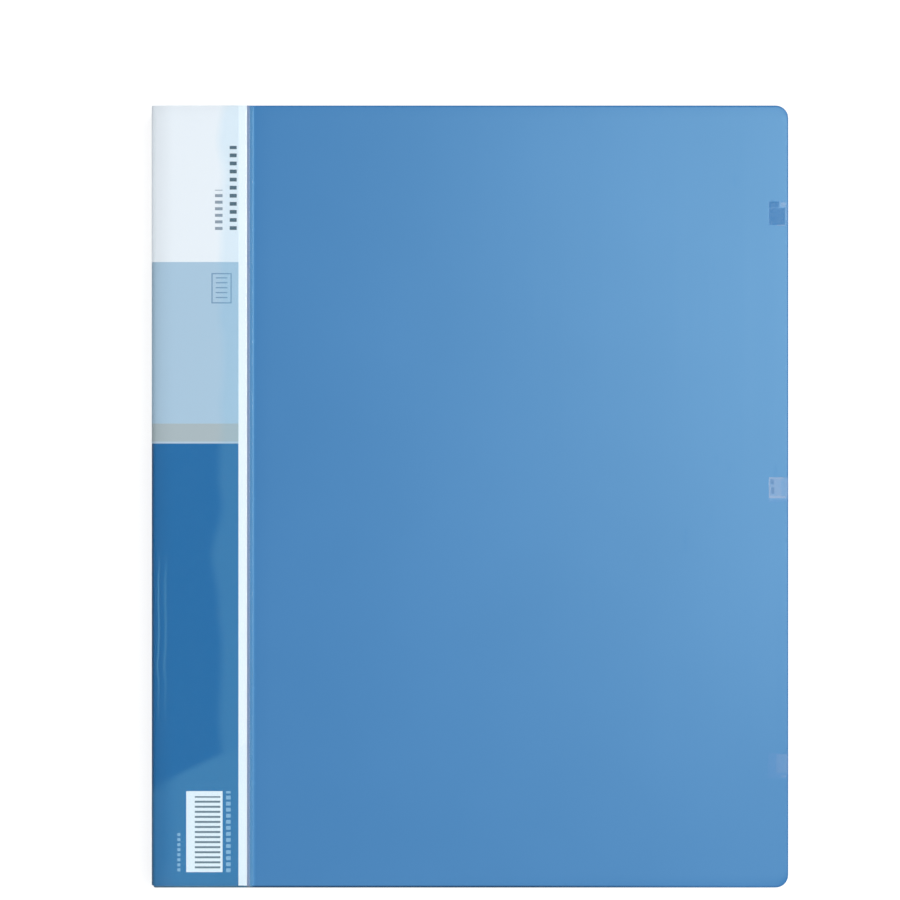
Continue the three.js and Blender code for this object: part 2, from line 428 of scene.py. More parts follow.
def tab_section(inner, outer, top, bottom):
    """Places round the outside of a tab, from its end above the cover to its end underneath."""
    bend_x = outer - TAB_BEND
    section = [(x, top) for x in steps(inner, bend_x - 0.1, 0.8)]
    for bend_z, start in ((top - TAB_BEND, 90), (bottom + TAB_BEND, 0)):
        for angle in steps(start, start - 90, 22.5):
            turn = math.radians(angle)
            section.append((bend_x + TAB_BEND * math.cos(turn), bend_z + TAB_BEND * math.sin(turn)))
    section += [(x, bottom) for x in steps(bend_x - 0.1, inner, 0.8)]
    return section


def edge_tab(node):
    """One tab, bent from above the cover's fore edge to below it."""
    low, high = book_box(node)
    film = high.x - FORE - TAB_CLEARANCE
    outside = tab_section(low.x, high.x, high.z, low.z)
    grid = []
    travelled = 0.0
    for i, (x, z) in enumerate(outside):
        before, after = outside[max(i - 1, 0)], outside[min(i + 1, len(outside) - 1)]
        along = Vector((after[0] - before[0], after[1] - before[1])).normalized()
        inward = Vector((along.y, -along.x))
        travelled += math.hypot(x - before[0], z - before[1])
        at_end = i in (0, len(outside) - 1)
        line = []
        for y in joined([low.y, low.y + 0.05], steps(low.y + 0.05, high.y - 0.05, 1), [high.y]):
            drop = TAB_DROP if at_end or y in (low.y, high.y) else 0.0
            outer = Vector((x + inward.x * drop, y, z + inward.y * drop))
            inner = Vector((x + inward.x * (film - drop), y, z + inward.y * (film - drop)))
            line.append((outer, inner, (travelled, y - low.y)))
        grid.append(line)
    return closed_sheet(node + "_film", grid)


# Pocket leaves: two films welded at the foot and sides, open at the head
LEAF_FILM = 0.1
LEAF_HALF = 0.25  # half a leaf's thickness at its pocket
LEAF_MARGIN = 14.0
LEAF_SEAM = 3.0
MARGIN_SEAM = LEAF_SEAM + 2  # the seam beside the binding is wider
POCKET_RISE = 3  # the pocket opens to its full width over this length
LEAF_BEAD = 0.22  # how far the heat-cut rim swells above and below the leaf
HEAD_BEAD = 0.06  # the same for each film at the open head
BEAD_WIDTH = 0.5
BEAD_START = 8.0  # the foot's bead fades out over this length beside the binding
ROOT = 1.0  # the leaf thins over this length to its welded edge
WAVE_TOGETHER = 0.16  # how far all leaves stray from flat in the same way
WAVE_ALONE = 0.08  # how far each leaf strays by itself
OUTER_FACE, CUT_RIM, INNER_FACE = 0, 1, 2  # a leaf's materials


class Leaf:
    """One pocket leaf: its grid, its heights above and below its middle, and its mesh."""

    def __init__(self, index):
        self.index = index
        self.low, self.high = book_box(f"pocket_leaf_{index:02d}")
        self.middle = (self.low.z + self.high.z) / 2
        self.left = self.low.x + LEAF_MARGIN + MARGIN_SEAM
        self.right = self.high.x - LEAF_SEAM
        self.bottom = self.low.y + LEAF_SEAM
        self.columns, self.rows = self.column_places(), self.row_places()
        self.first, self.last = self.columns.index(self.left), self.columns.index(self.right)
        self.ground = self.rows.index(self.bottom)
        self.end = len(self.rows) - 1
        self.mesh = bmesh.new()
        self.layer = self.mesh.loops.layers.uv.new(FLAT_MAP)

    def column_places(self):
        low, high, left, right = self.low.x, self.high.x, self.left, self.right
        pocket = low + LEAF_MARGIN
        columns = joined([low, low + ROOT], steps(low + 2, low + BEAD_START, 2), [pocket, pocket + 1])
        columns = joined(columns, steps(left, left + POCKET_RISE, 1))
        columns = joined(columns, steps(left + POCKET_RISE, right - POCKET_RISE, 10))
        columns = joined(columns, steps(right - POCKET_RISE, right, 1), [right + 0.2])
        return joined(columns, steps(high - BEAD_WIDTH, high, BEAD_WIDTH / 2))

    def row_places(self):
        low, high, bottom = self.low.y, self.high.y, self.bottom
        rows = joined(steps(low, low + BEAD_WIDTH, BEAD_WIDTH / 2), [bottom - 0.2, bottom])
        risen = bottom + POCKET_RISE
        rows = joined(rows, steps(bottom, risen, 1), steps(risen, high - 3, 10))
        return joined(rows, steps(high - BEAD_WIDTH, high, BEAD_WIDTH / 2))

    def wave(self, x, y):
        """How far the leaf strays from flat, none of it beside the binding."""
        x -= self.low.x
        together = noise.noise(Vector((x * 0.012, y * 0.011, 4.0))) * WAVE_TOGETHER
        alone = noise.noise(Vector((x * 0.02, y * 0.016, 20.0 + self.index * 3.1))) * WAVE_ALONE
        return smooth((x - 20) / 60) * (together + alone)

    def pocket_half(self, x, y):
        """Half the width of the pocket between the films."""
        depth = min(x - self.left, self.right - x, y - self.bottom)
        return (LEAF_HALF - LEAF_FILM) * smooth(depth / POCKET_RISE) ** 0.7

    def head_bead(self, y):
        return HEAD_BEAD * smooth(1 - (self.high.y - y) / BEAD_WIDTH)

    def bead(self, x, y):
        near = min(self.high.x - x, y - self.low.y)
        swollen = max(LEAF_BEAD * smooth(1 - near / BEAD_WIDTH), self.head_bead(y))
        return swollen * smooth((x - self.low.x) / BEAD_START)

    def half(self, x, y):
        """Half the leaf's thickness."""
        film = LEAF_FILM * (0.5 + 0.5 * smooth((x - self.low.x) / ROOT))
        return film + self.pocket_half(x, y) + self.bead(x, y)

    def point(self, x, y, lift):
        z = self.middle + self.wave(x, y) + lift
        return self.mesh.verts.new(place(x, y, z)), (x, y)

    def outer_face(self, side):
        """Points of the leaf's upper face, or of its lower one where side is -1, by column and row."""
        points = {}
        for i, x in enumerate(self.columns):
            for j, y in enumerate(self.rows):
                points[i, j] = self.point(x, y, side * self.half(x, y))
        return points

    def inner_faces(self):
        """The same for the two faces inside the pocket, which meet at its seams."""
        roof, ground = {}, {}
        for i in range(self.first, self.last + 1):
            for j in range(self.ground, len(self.rows)):
                x, y = self.columns[i], self.rows[j]
                gap = max(self.pocket_half(x, y) - self.head_bead(y), 0.0)
                roof[i, j] = self.point(x, y, gap)
                ground[i, j] = self.point(x, y, -gap) if gap > 0 else roof[i, j]
        return roof, ground

    def add_faces(self, points, columns, rows, slot):
        for i in columns:
            for j in rows:
                corners = (points[i, j], points[i + 1, j], points[i + 1, j + 1], points[i, j + 1])
                add_face(self.mesh, self.layer, corners, slot)

    def add_rim_face(self, *corners):
        add_face(self.mesh, self.layer, corners, CUT_RIM)

    def add_foot_and_sides(self, top, base):
        side = len(self.columns) - 1
        for i in range(side):
            self.add_rim_face(top[i, 0], top[i + 1, 0], base[i + 1, 0], base[i, 0])
        for i in (0, side):
            for j in range(self.end):
                self.add_rim_face(top[i, j], top[i, j + 1], base[i, j + 1], base[i, j])

    def add_head(self, top, base, roof, ground):
        """The films' ends at the head, with the open pocket between them."""
        end = self.end
        for i in range(len(self.columns) - 1):
            if self.first <= i < self.last:
                self.add_rim_face(top[i, end], top[i + 1, end], roof[i + 1, end], roof[i, end])
                self.add_rim_face(base[i, end], base[i + 1, end], ground[i + 1, end], ground[i, end])
            else:
                corners = [top[i, end], top[i + 1, end]]
                corners += [roof[i + 1, end]] if i + 1 == self.first else []
                corners += [base[i + 1, end], base[i, end]]
                corners += [roof[i, end]] if i == self.last else []
                self.add_rim_face(*corners)


def leaf_film(index):
    """One leaf as a closed mesh, riding on its own body."""
    leaf = Leaf(index)
    top, base = leaf.outer_face(1), leaf.outer_face(-1)
    roof, ground = leaf.inner_faces()
    for face in (top, base):
        leaf.add_faces(face, range(len(leaf.columns) - 1), range(leaf.end), OUTER_FACE)
    for face in (roof, ground):
        leaf.add_faces(face, range(leaf.first, leaf.last), range(leaf.ground, leaf.end), INNER_FACE)
    leaf.add_foot_and_sides(top, base)
    leaf.add_head(top, base, roof, ground)
    piece = finish_mesh(f"leaf_film_{index:02d}", leaf.mesh)
    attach(piece, f"leaf_{index:02d}")
    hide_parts(f"pocket_leaf_{index:02d}")
    return piece


# Materials
def rgb(red, green, blue):
    """A display colour from 0 to 255 as a linear colour."""
    linear = []
    for value in (red, green, blue):
        share = value / 255
        linear.append(share / 12.92 if share <= 0.04045 else ((share + 0.055) / 1.055) ** 2.4)
    return (*linear, 1.0)


class Tree:
    """Short calls for one material's nodes. Coordinates are in millimetres."""

    def __init__(self, name, flat=True):
        self.material = bpy.data.materials.new(name)
        self.material.use_nodes = True
        self.tree = self.material.node_tree
        self.shader = self.tree.nodes["Principled BSDF"]
        self.output = self.tree.nodes["Material Output"]
        if flat:
            source = self.add("ShaderNodeUVMap", uv_map=FLAT_MAP).outputs["UV"]
        else:
            source = self.add("ShaderNodeTexCoord").outputs["Object"]
        scale = self.add("ShaderNodeVectorMath", operation="SCALE")
        self.feed(scale.inputs[0], source)
        self.feed(scale.inputs["Scale"], 1 / MM)
        self.where = scale.outputs[0]
        parts = self.add("ShaderNodeSeparateXYZ")
        self.feed(parts.inputs[0], self.where)
        self.x, self.y = parts.outputs["X"], parts.outputs["Y"]

    def add(self, kind, **values):
        node = self.tree.nodes.new(kind)
        for name, value in values.items():
            setattr(node, name, value)
        return node

    def feed(self, socket, value):
        """Links an output to a socket, or sets a plain value on it."""
        if isinstance(value, bpy.types.NodeSocket):
            self.tree.links.new(value, socket)
        else:
            socket.default_value = value

    def set(self, **values):
        """Sets or feeds the main shader's sockets by name."""
        for name, value in values.items():
            self.feed(self.shader.inputs[name.replace("_", " ")], value)

    def math(self, operation, a, b=0.0, c=0.0, clamp=False):
        node = self.add("ShaderNodeMath", operation=operation, use_clamp=clamp)
        for socket, value in zip(node.inputs, (a, b, c)):
            self.feed(socket, value)
        return node.outputs[0]

    def times(self, *values):
        result = values[0]
        for value in values[1:]:
            result = self.math("MULTIPLY", result, value)
        return result

    def largest(self, *values):
        result = values[0]
        for value in values[1:]:
            result = self.math("MAXIMUM", result, value)
        return result

    def ranged(self, value, low, high, start, end):
        """Value from low to high as start to end."""
        node = self.add("ShaderNodeMapRange")
        for socket, item in zip(node.inputs, (value, low, high, start, end)):
            self.feed(socket, item)
        return node.outputs[0]

    def varied(self, value, start, end):
        """Start to end over the range in which most values of a noise lie."""
        return self.ranged(value, 0.3, 0.7, start, end)

    def distance(self, value, place):
        return self.math("ABSOLUTE", self.math("SUBTRACT", value, place))

    def ribs(self, along, pitch):
        return self.math("SINE", self.times(along, 2 * math.pi / pitch))

    def stretched(self, x, y, z=1.0):
        node = self.add("ShaderNodeMapping")
        self.feed(node.inputs["Vector"], self.where)
        self.feed(node.inputs["Scale"], (x, y, z))
        return node.outputs[0]

    def noise(self, scale, detail=2.0, roughness=0.5, vector=None):
        node = self.add("ShaderNodeTexNoise")
        self.feed(node.inputs["Vector"], vector or self.where)
        self.feed(node.inputs["Scale"], scale)
        self.feed(node.inputs["Detail"], detail)
        self.feed(node.inputs["Roughness"], roughness)
        return node.outputs["Fac"]

    def mix(self, factor, a, b):
        """Colour a where factor is 0, and b where it is 1."""
        node = self.add("ShaderNodeMix", data_type="RGBA")
        factor_input, a_input, b_input, colour_output = 0, 6, 7, 2
        self.feed(node.inputs[factor_input], factor)
        self.feed(node.inputs[a_input], a)
        self.feed(node.inputs[b_input], b)
        return node.outputs[colour_output]

    def between(self, value, low, high):
        """1 from low to high, else 0."""
        return self.math("COMPARE", value, (low + high) / 2, (high - low) / 2)

    def box(self, x, y):
        """1 inside the ranges x and y of the flat map."""
        return self.times(self.between(self.x, *x), self.between(self.y, *y))

    def outline(self, x, y, width):
        """1 on the border of such a box."""
        inside = self.box((x[0] + width, x[1] - width), (y[0] + width, y[1] - width))
        return self.math("SUBTRACT", self.box(x, y), inside, clamp=True)

    def bump(self, height, strength, distance):
        node = self.add("ShaderNodeBump")
        self.feed(node.inputs["Strength"], strength)
        self.feed(node.inputs["Distance"], distance * MM)
        self.feed(node.inputs["Height"], height)
        return node.outputs["Normal"]

    def facing(self):
        """0 where the surface faces the eye and 1 at a glancing angle."""
        return self.add("ShaderNodeLayerWeight").outputs["Facing"]

    def see_through(self, factor, tint, surface):
        """Shows what is behind the piece, and surface over it by factor."""
        clear = self.add("ShaderNodeBsdfTransparent")
        self.feed(clear.inputs["Color"], tint)
        blend = self.add("ShaderNodeMixShader")
        self.feed(blend.inputs[0], factor)
        self.feed(blend.inputs[1], clear.outputs[0])
        self.feed(blend.inputs[2], surface)
        self.feed(self.output.inputs["Surface"], blend.outputs[0])
        self.material.surface_render_method = "BLENDED"


# The cover's materials, in linear colours
COVER_BLUE = (0.008, 0.12, 0.344, 1.0)
COVER_BLUE_LIGHT = (0.012, 0.128, 0.358, 1.0)
COVER_SHEEN = (0.62, 0.97, 1.0, 1.0)
COVER_EDGE = (0.045, 0.17, 0.37, 1.0)
CREASE_WHITE_AND_GLINT = (0.05, 0.22, 0.49, 1.0)  # whitened by folding, and lighter still as a painted highlight
FOOT_PAINTED_SHADE = (0.004, 0.03, 0.09, 1.0)  # painted shade on the edge that the book stands on, fading towards the fore edge


def cover_colour(t):
    """The sheet's blue; along the crease, whitened by folding and a painted highlight in beads; along the
    foot, painted shade.
    """
    cloud = t.noise(0.012, 3)
    colour = t.mix(t.ranged(cloud, 0.35, 0.65, 0, 1), COVER_BLUE, COVER_BLUE_LIGHT)
    from_crease = t.distance(t.x, CREASE)
    # Beads of painted highlight along the crease.
    glint_beads = t.ranged(t.noise(1.0, 2, vector=t.stretched(0.0, 0.4)), 0.6, 0.72, 0.4, 1)
    whitening_and_glint = t.times(t.ranged(from_crease, 0.35, CREASE_HALF_WIDTH + 0.1, 1, 0), glint_beads)
    colour = t.mix(whitening_and_glint, colour, CREASE_WHITE_AND_GLINT)
    # Painted shade along the foot edge, fading towards the fore edge.
    foot_shade = t.times(t.ranged(t.y, FOOT + 0.5, FOOT + 1.0, 1, 0), t.ranged(t.x, 150.0, 240.0, 1, 0.2))
    return t.mix(foot_shade, colour, FOOT_PAINTED_SHADE), foot_shade


def cover_plastic():
    """Satin polypropylene sheet: fine matte grain, faint streaks from the rollers, light scuffs."""
    t = Tree("cover_plastic")
    colour, foot_shade = cover_colour(t)
    streak = t.noise(1.0, 3, vector=t.stretched(0.9, 0.006))
    grain = t.noise(3.2, 3, 0.6)
    scuff = t.math("GREATER_THAN", t.noise(1.0, 2, vector=t.stretched(0.25, 0.035)), 0.72)
    rough = t.math("ADD", t.varied(streak, 0.375, 0.39), t.times(grain, 0.04))
    # The painted foot shade is rougher as well, so that its sheen fades there.
    scuffs_and_foot_shade = t.math("ADD", t.times(scuff, 0.03), t.times(foot_shade, 0.5))
    height = t.math("ADD", grain, t.times(streak, 0.1))
    t.set(
        Base_Color=colour,
        Roughness=t.math("ADD", rough, scuffs_and_foot_shade),
        Normal=t.bump(height, 0.22, 0.02),
        Specular_IOR_Level=0.89,
        Specular_Tint=COVER_SHEEN,
        IOR=1.49,
    )
    return t.material


def cover_cut_edge():
    """The sheet's cut rim: a little paler, with fine marks of the cutting die."""
    t = Tree("cover_cut_edge")
    marks = t.noise(1.0, 3, vector=t.stretched(2.5, 2.5))
    colour = t.mix(t.varied(marks, 0, 1), COVER_EDGE, COVER_BLUE_LIGHT)
    t.set(
        Base_Color=colour,
        Roughness=t.varied(marks, 0.5, 0.65),
        Normal=t.bump(marks, 0.3, 0.03),
    )
    return t.material


# The label's print, in millimetres from the spine and from mid height
PRINT_RIGHT = 33.9  # the printed bands end here and the white margin begins
PALE_BAND_FOOT = 92.9
DARK_BAND_HEAD = 21.0
PRINT_FOLD = 0.3  # where the print turns over the spine's edge; the painted shade of the bend centres here
DARK_EDGE_SHADE = -0.5  # a painted dark line here stands for shade at the dark band's edge
BANDS = (
    (PALE_BAND_FOOT, 160.0, rgb(233, 239, 244)),
    (28.9, PALE_BAND_FOOT, rgb(169, 197, 217)),
    (21.8, 28.9, rgb(170, 183, 187)),
    (DARK_BAND_HEAD, 21.8, rgb(182, 202, 216)),
    (-160.0, DARK_BAND_HEAD, rgb(10, 102, 161)),
)
MARGIN_WHITE = rgb(246, 250, 252)
INK = rgb(70, 80, 90)
SUBTITLE_INK = rgb(140, 152, 164)
ICON_INK = rgb(112, 146, 178)
BAR_GREY = rgb(108, 116, 122)
LIGHT_INK = rgb(138, 178, 210)
BOX_X, BOX_Y = (13.2, 27.6), (-148.8, -116.7)


def stand_in_marks(t):
    """Plain even shapes where a label carries its lettering: (mask, colour) pairs."""

    def dashes(x, y, length, gap):
        """A column of even dashes along y."""
        phase = t.math("FRACT", t.math("DIVIDE", t.math("SUBTRACT", t.y, y[0]), length + gap))
        return t.times(t.box(x, y), t.math("LESS_THAN", phase, length / (length + gap)))

    title = dashes((30.4, 33.2), (105.6, 138.9), 1.5, 1.7)
    subtitle = dashes((24.6, 27.6), (105.6, 121.5), 1.2, 1.4)
    sheet = t.outline((23.2, 31.2), (76.5, 88.5), 0.45)
    lines = dashes((24.9, 29.5), (78.6, 87.0), 0.45, 1.5)
    field = t.box(BOX_X, BOX_Y)
    bars = dashes((BOX_X[0] + 3.4, BOX_X[1] - 0.9), (BOX_Y[0] + 1.5, BOX_Y[1] - 2.0), 0.8, 1.2)
    beside = dashes((29.0, 30.8), BOX_Y, 1.5, 0.9)
    before = dashes((9.7, 10.9), (-148.5, -133.0), 1.2, 0.8)
    return (
        (title, INK),
        (subtitle, SUBTITLE_INK),
        (t.largest(sheet, lines), ICON_INK),
        (field, MARGIN_WHITE),
        (bars, BAR_GREY),
        (t.largest(beside, before), LIGHT_INK),
    )


def painted_fold_shade(t):
    """Share of the print's lightness left by painted shade of the spine's bend: beside the fold, more on
    the inked bands, and a dark line at the dark band's edge.
    """
    from_fold = t.distance(t.x, PRINT_FOLD)
    inked_fold_shade = t.times(t.ranged(from_fold, 0.6, 6.0, 0.2, 0.0), t.math("LESS_THAN", t.y, PALE_BAND_FOOT))
    fold_shade_beside = t.times(t.ranged(t.x, 0.3, 1.2, 0.0, 1.0), t.ranged(t.x, 1.8, 8.0, 0.13, 0.03))
    from_dark_edge = t.distance(t.x, DARK_EDGE_SHADE)
    in_dark_band = t.math("LESS_THAN", t.y, DARK_BAND_HEAD)
    dark_edge_shade = t.times(t.ranged(from_dark_edge, 0.8, 1.2, 0.4, 0.0), in_dark_band)
    shaded = t.math("ADD", t.largest(inked_fold_shade, fold_shade_beside), dark_edge_shade)
    return t.math("SUBTRACT", 1.0, shaded)


def label_print():
    """Printed card: flat bands of colour with the slight mottle of ink on board."""
    t = Tree("label_print")
    colour = MARGIN_WHITE
    for low, high, band in BANDS:
        colour = t.mix(t.between(t.y, low, high), colour, band)
    colour = t.mix(t.math("GREATER_THAN", t.x, PRINT_RIGHT), colour, MARGIN_WHITE)
    for mask, ink in stand_in_marks(t):
        colour = t.mix(mask, colour, ink)
    mottle = t.noise(1.6, 4, 0.6)
    fibre = t.noise(1.0, 3, vector=t.stretched(5, 2))
    shade = t.add("ShaderNodeHueSaturation")
    # The value carries the painted shade of the bend.
    t.feed(shade.inputs["Value"], t.times(t.varied(mottle, 0.975, 1.015), painted_fold_shade(t)))
    t.feed(shade.inputs["Color"], colour)
    t.set(
        Base_Color=shade.outputs[0],
        Roughness=t.varied(fibre, 0.55, 0.7),
        Normal=t.bump(fibre, 0.15, 0.02),
        Specular_IOR_Level=0.1,
    )
    return t.material


def card_edge():
    """The card's cut edge: bare white board."""
    t = Tree("card_edge")
    fibre = t.noise(4, 3)
    t.set(
        Base_Color=t.mix(fibre, rgb(226, 228, 228), rgb(244, 245, 244)),
        Roughness=0.8,
        Normal=t.bump(fibre, 0.3, 0.02),
    )
    return t.material


# Clear films. Their tints are what they let through
SLEEVE_TINT = (0.995, 0.998, 1.0, 1.0)
LEAF_TINT = (0.99, 0.995, 1.0, 1.0)
NO_TINT = (1.0, 1.0, 1.0, 1.0)
POCKET_TINT = (0.97, 0.985, 1.0, 1.0)
TAB_TINT = (0.985, 0.99, 1.0, 1.0)
# Painted shade on the tabs' darker patches.
TAB_SHADE_TINT = (0.80, 0.885, 0.935, 1.0)


def film_gloss(t, haze, roughness, normal, gloss):
    """How much of the film is seen, and its shader. Gloss is its share seen face on and glancing."""
    glancing = t.math("POWER", t.facing(), 5)
    mirror = t.ranged(glancing, 0, 1, *gloss)
    shine = t.add("ShaderNodeBsdfGlossy")
    t.feed(shine.inputs["Roughness"], roughness)
    t.feed(shine.inputs["Normal"], normal)
    t.set(Roughness=0.5, Normal=normal)
    total = t.math("ADD", mirror, haze, clamp=True)
    blend = t.add("ShaderNodeMixShader")
    t.feed(blend.inputs[0], t.math("DIVIDE", mirror, total, clamp=True))
    t.feed(blend.inputs[1], t.shader.outputs[0])
    t.feed(blend.inputs[2], shine.outputs[0])
    return total, blend.outputs[0]


def painted_film_reflection(t):
    """1 where the film's haze is whiter as a painted reflection: near the crease, and below a slanting line
    near the foot.
    """
    waver = t.noise(1.0, 1.5, vector=t.stretched(0.0, 0.03))
    bulge = t.ranged(t.distance(t.y, -21.0), 4.0, 20.0, 4.5, 0.0)
    border = t.math("SUBTRACT", t.varied(waver, 24.0, 28.0), bulge)
    beside = t.math("SUBTRACT", t.x, border)
    below = t.math("SUBTRACT", t.times(t.x, 0.55), t.math("ADD", t.y, 116.0))
    below = t.math("ADD", below, t.varied(waver, -1.5, 1.5))
    low = t.times(t.ranged(below, -1.0, 2.5, 0, 1), t.ranged(t.x, 4.0, 10.0, 0.5, 1))
    return t.largest(t.times(t.ranged(beside, -0.6, 3.0, 0, 1), 0.8), low)


def painted_gloss_streaks(t):
    """Long bright streaks beside the spine: painted reflections of the film's gloss."""
    waver = t.times(t.math("SUBTRACT", t.noise(1.0, 2, vector=t.stretched(0.0, 0.05)), 0.5), 3.0)
    reach = t.times(t.ranged(t.y, -95.0, -65.0, 0, 1), t.ranged(t.y, -35.0, -20.0, 1, 0))
    streaks = []
    for middle, width, strength in ((2.2, 0.5, 0.9), (4.9, 0.9, 0.5)):
        offset = t.distance(t.math("ADD", t.x, waver), middle)
        streaks.append(t.times(t.ranged(offset, 0.0, width, 1, 0), strength))
    return t.times(t.largest(*streaks), reach)


def sleeve_film():
    """Clear film: wavy gloss, hazier and patterned along its welds, and whiter haze in places as painted
    reflections.
    """
    t = Tree("sleeve_film")
    waves = t.noise(1.0, 2, vector=t.stretched(0.16, 0.03))
    scratch = t.noise(1.0, 3, vector=t.stretched(3.0, 0.05))
    weld = t.largest(
        t.between(t.x, SLEEVE_END - SLEEVE_WELD - 0.8, SLEEVE_END - SLEEVE_WELD + 0.3),
        t.math("LESS_THAN", t.x, at_spine(SLEEVE_START + SPINE_WELD)),
    )
    ribs = t.times(t.ribs(t.y, 1.1), weld)
    fine = t.math("ADD", t.times(scratch, 0.12), t.times(ribs, 0.2))
    height = t.math("ADD", t.times(waves, 6.0), fine)
    haze = t.math("ADD", t.times(weld, 0.09), t.times(scratch, 0.008))
    # Whiter haze as a painted reflection.
    haze = t.math("ADD", haze, t.times(painted_film_reflection(t), 0.06))
    # Painted gloss streaks beside the spine.
    haze = t.math("ADD", haze, t.times(painted_gloss_streaks(t), 0.12))
    t.set(Base_Color=t.mix(weld, rgb(130, 218, 250), rgb(206, 204, 212)))
    rough = t.math("ADD", t.varied(scratch, 0.05, 0.11), t.times(weld, 0.15))
    factor, surface = film_gloss(t, haze, rough, t.bump(height, 0.35, 0.05), gloss=(0.01, 0.2))
    t.see_through(factor, SLEEVE_TINT, surface)
    return t.material


def leaf_plastic():
    """Film of the pocket leaves: fine drawing streaks, and a ribbed, whiter weld round the pocket."""
    t = Tree("leaf_outer_face")
    leaf_low, leaf_high = book_box("pocket_leaf_01")
    streak = t.noise(1.0, 1, vector=t.stretched(0.5, 0.01))
    across = (leaf_low.x + LEAF_MARGIN + MARGIN_SEAM, leaf_high.x - LEAF_SEAM)
    upward = (leaf_low.y + LEAF_SEAM, leaf_high.y + 50)
    weld = t.math("SUBTRACT", 1.0, t.box(across, upward), clamp=True)
    ribs = t.ribs(t.math("ADD", t.x, t.y), 1.2)
    height = t.math("ADD", t.times(streak, 0.25), t.times(weld, ribs, 0.8))
    t.set(Base_Color=t.mix(streak, rgb(240, 244, 247), rgb(250, 252, 253)))
    haze = t.math("ADD", t.varied(streak, 0.12, 0.15), t.times(weld, 0.1))
    rough = t.varied(streak, 0.18, 0.22)
    factor, surface = film_gloss(t, haze, rough, t.bump(height, 0.25, 0.03), gloss=(0.03, 0.3))
    t.see_through(factor, LEAF_TINT, surface)
    return t.material


def leaf_inside():
    """Inner faces of a pocket: hardly seen, with a faint mottle."""
    t = Tree("leaf_inner_face")
    mottle = t.noise(0.15, 1)
    t.set(Base_Color=t.mix(mottle, rgb(232, 238, 242), rgb(250, 252, 253)), Roughness=0.5)
    t.see_through(t.varied(mottle, 0.01, 0.03), NO_TINT, t.shader.outputs[0])
    return t.material


def leaf_cut_edge():
    """The film's cut rim, which scatters light and looks white."""
    t = Tree("leaf_cut_edge")
    fleck = t.noise(2.0, 3)
    t.set(
        Base_Color=t.mix(fleck, rgb(232, 239, 244), rgb(250, 252, 253)),
        Roughness=t.varied(fleck, 0.45, 0.6),
        Normal=t.bump(fleck, 0.3, 0.02),
    )
    return t.material


def pocket_plastic():
    """Film inside the front cover, placed by its own coordinates."""
    t = Tree("pocket_plastic", flat=False)
    streak = t.noise(1.0, 3, vector=t.stretched(0.5, 0.012, 0.5))
    t.set(Base_Color=t.mix(streak, rgb(214, 226, 236), rgb(224, 233, 241)))
    haze = t.varied(streak, 0.12, 0.14)
    rough = t.varied(streak, 0.15, 0.18)
    factor, surface = film_gloss(t, haze, rough, t.bump(streak, 0.12, 0.03), gloss=(0.03, 0.6))
    t.see_through(factor, POCKET_TINT, surface)
    return t.material


def binding_plastic():
    """White binding strip with the ribs of its weld tool."""
    t = Tree("binding_plastic", flat=False)
    ribs = t.ribs(t.y, 2.4)
    speckle = t.noise(1.5, 3)
    height = t.math("ADD", t.times(ribs, 0.5), t.times(speckle, 0.3))
    colour = t.mix(t.varied(speckle, 0, 1), rgb(218, 224, 228), rgb(236, 240, 242))
    t.set(
        Base_Color=colour,
        Roughness=t.varied(speckle, 0.42, 0.55),
        Normal=t.bump(height, 0.5, 0.08),
    )
    return t.material


def tab_plastic(name, shade_patches, highlight_patches, wrinkle):
    """Clear tab: darker patches of painted shade, and painted highlights, whiter by each patch's share."""
    t = Tree(name)
    cloud = t.noise(0.5, 3)
    crimp = t.noise(1.0, 2, vector=t.stretched(0.3, 2.2))
    haze = 0.0
    for x, y, share in highlight_patches:
        haze = t.math("ADD", haze, t.times(t.box(x, y), share))
    haze = t.times(haze, t.ranged(cloud, 0.35, 0.65, 0.8, 1.15))
    shade = TAB_TINT
    for x, y in shade_patches:
        shade = t.mix(t.box(x, y), shade, TAB_SHADE_TINT)
    height = t.math("ADD", cloud, t.times(crimp, wrinkle))
    t.set(Base_Color=rgb(205, 222, 240))
    rough = t.varied(cloud, 0.1, 0.2)
    factor, surface = film_gloss(t, haze, rough, t.bump(height, 0.3, 0.1), gloss=(0.004, 0.2))
    t.see_through(factor, shade, surface)
    return t.material


def dress(piece, *materials):
    for material in materials:
        piece.data.materials.append(material)


# Pieces
plastic, cut_edge = cover_plastic(), cover_cut_edge()
FRONT_BLEND = place(0.35, 0, TOP - 1.6), place(1.6, 0, TOP - 0.35)
BACK_BLEND = place(1.6, 0, 0.35), place(0.35, 0, 1.6)
CREASE_BLEND = place(CREASE - 0.5, 0, TOP), place(CREASE + 0.5, 0, TOP)


def bent(piece, bodies, blend, nodes, slot, *materials):
    """Dresses a piece, bakes its place into its mesh and hides the nodes that it stands in for."""
    dress(piece, *materials)
    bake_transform(piece)
    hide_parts(*nodes)


for panel, bodies, blend, nodes in (
    (cover_back(), ("back_cover", "spine"), BACK_BLEND, ("back_cover", "spine_panel")),
    (cover_spine(), ("spine", "front_strip"), FRONT_BLEND, ("spine_panel", "front_strip")),
    (cover_front(), ("front_strip", "front_cover"), CREASE_BLEND, ("front_strip", "front_cover")),
):
    bent(panel, bodies, blend, nodes, "cover", plastic, cut_edge)
bent(
    label_card(),
    ("label_spine", "label_front"),
    FRONT_BLEND,
    ("label_spine", "label_front"),
    "label",
    label_print(),
    card_edge(),
)
bent(
    label_sleeve(),
    ("spine", "front_strip"),
    FRONT_BLEND,
    ("sleeve_spine", "sleeve_front"),
    "film",
    sleeve_film(),
)

